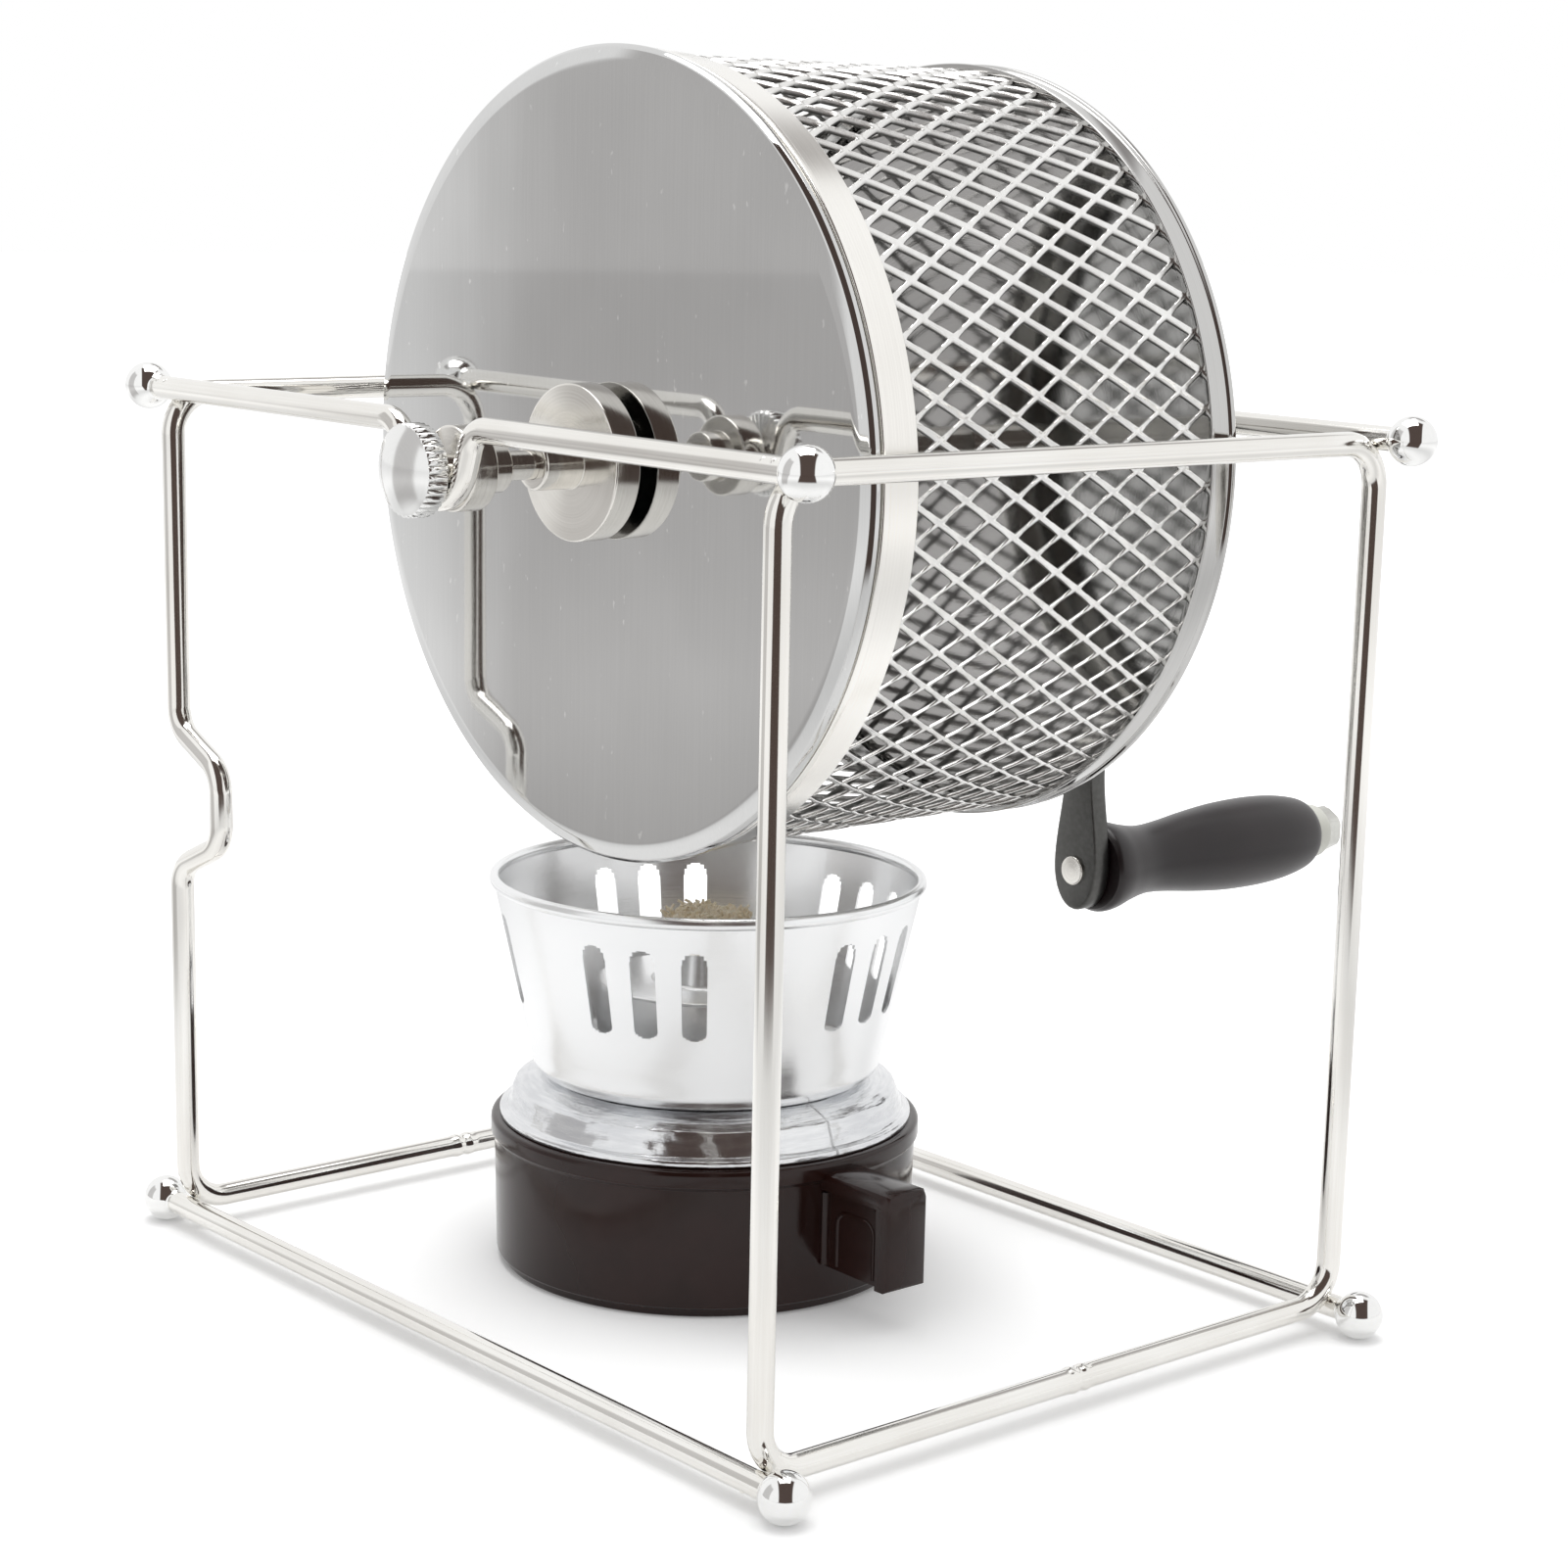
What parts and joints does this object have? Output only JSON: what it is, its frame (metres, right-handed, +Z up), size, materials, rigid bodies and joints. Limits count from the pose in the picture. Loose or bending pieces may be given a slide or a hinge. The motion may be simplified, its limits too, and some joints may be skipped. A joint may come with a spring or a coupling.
{
  "type": "stovetop coffee bean roaster",
  "caption": "Wire frame table roaster: a hand cranked expanded metal drum turns in two open saddles above a spirit burner with a slotted windscreen.",
  "frame": {"origin": "on the floor, midway between the four ball feet", "axes": "+X to the right across the front, +Y along the drum's axle from the lid to the crank, +Z up"},
  "size_m": [0.228, 0.2754, 0.259],
  "materials": {
    "polished_wire": "polished, welded",
    "ball_chrome": "mirror polished",
    "brushed_sheet": "brushed sheet",
    "expanded_metal": "cut and stretched sheet",
    "turned_steel": "turned",
    "dark_steel": "dark, worn at the edges",
    "dark_grip": "moulded, satin",
    "nylon": "moulded",
    "zinc_steel": "plated",
    "brown_plastic": "moulded, glossy",
    "spun_aluminium": "spun, bright",
    "wick_fibre": "frayed fibre"
  },
  "bodies": {
    "frame": {"left_loop": "polished_wire", "right_loop": "polished_wire", "top_front_rail": "polished_wire", "top_rear_rail": "polished_wire", "bottom_front_rail": "polished_wire", "bottom_rear_rail": "polished_wire", "ball_feet": "ball_chrome", "ball_ends": "ball_chrome"},
    "drum": {"axle": "turned_steel", "front_collar": "turned_steel", "rear_collar": "turned_steel", "crank_collar": "turned_steel", "front_band": "brushed_sheet", "drum_mesh": "expanded_metal", "rear_plate": "brushed_sheet", "rear_hub": "turned_steel", "crank_arm": "dark_steel", "crank_nut": "zinc_steel", "grip_bolt": "turned_steel", "end_washer": "nylon", "end_nut": "zinc_steel"},
    "lid": {"lid": "brushed_sheet"},
    "clamp_nut": {"clamp_nut": "turned_steel"},
    "thumb_nut": {"thumb_nut": "ball_chrome"},
    "grip": {"grip": "dark_grip"},
    "burner": {"burner_base": "brown_plastic", "burner_collar": "spun_aluminium", "fuel_cup": "spun_aluminium"},
    "wick_holder": {"wick_holder": "spun_aluminium", "wick": "wick_fibre"},
    "windscreen": {"windscreen": "spun_aluminium"}
  },
  "joints": [
    {"name": "drum_turn", "type": "hinge", "parent": "frame", "child": "drum", "pos_m": [0, 0, 0.1784], "axis": [0, 1, 0], "continuous": true},
    {"name": "lid_slide", "type": "slide", "parent": "drum", "child": "lid", "axis": [0, -1, 0], "range_m": [0, 0.0073]},
    {"name": "clamp_nut_turn", "type": "hinge", "parent": "lid", "child": "clamp_nut", "pos_m": [0, -0.044, 0.1784], "axis": [0, 1, 0], "continuous": true},
    {"name": "thumb_nut_slide", "type": "slide", "parent": "drum", "child": "thumb_nut", "axis": [0, -1, 0], "range_m": [0, 0.008]},
    {"name": "grip_spin", "type": "hinge", "parent": "drum", "child": "grip", "pos_m": [0, 0.14, 0.0784], "axis": [0, 1, 0], "continuous": true},
    {"name": "burner_slide", "type": "slide", "parent": "frame", "child": "burner", "axis": [0, -1, 0], "range_m": [-0.022, 0.03]},
    {"name": "wick_lift", "type": "slide", "parent": "burner", "child": "wick_holder", "axis": [0, 0, 1], "range_m": [0, 0.016]},
    {"name": "windscreen_lift", "type": "slide", "parent": "burner", "child": "windscreen", "axis": [0, 0, 1], "range_m": [0, 0.01]}
  ]
}
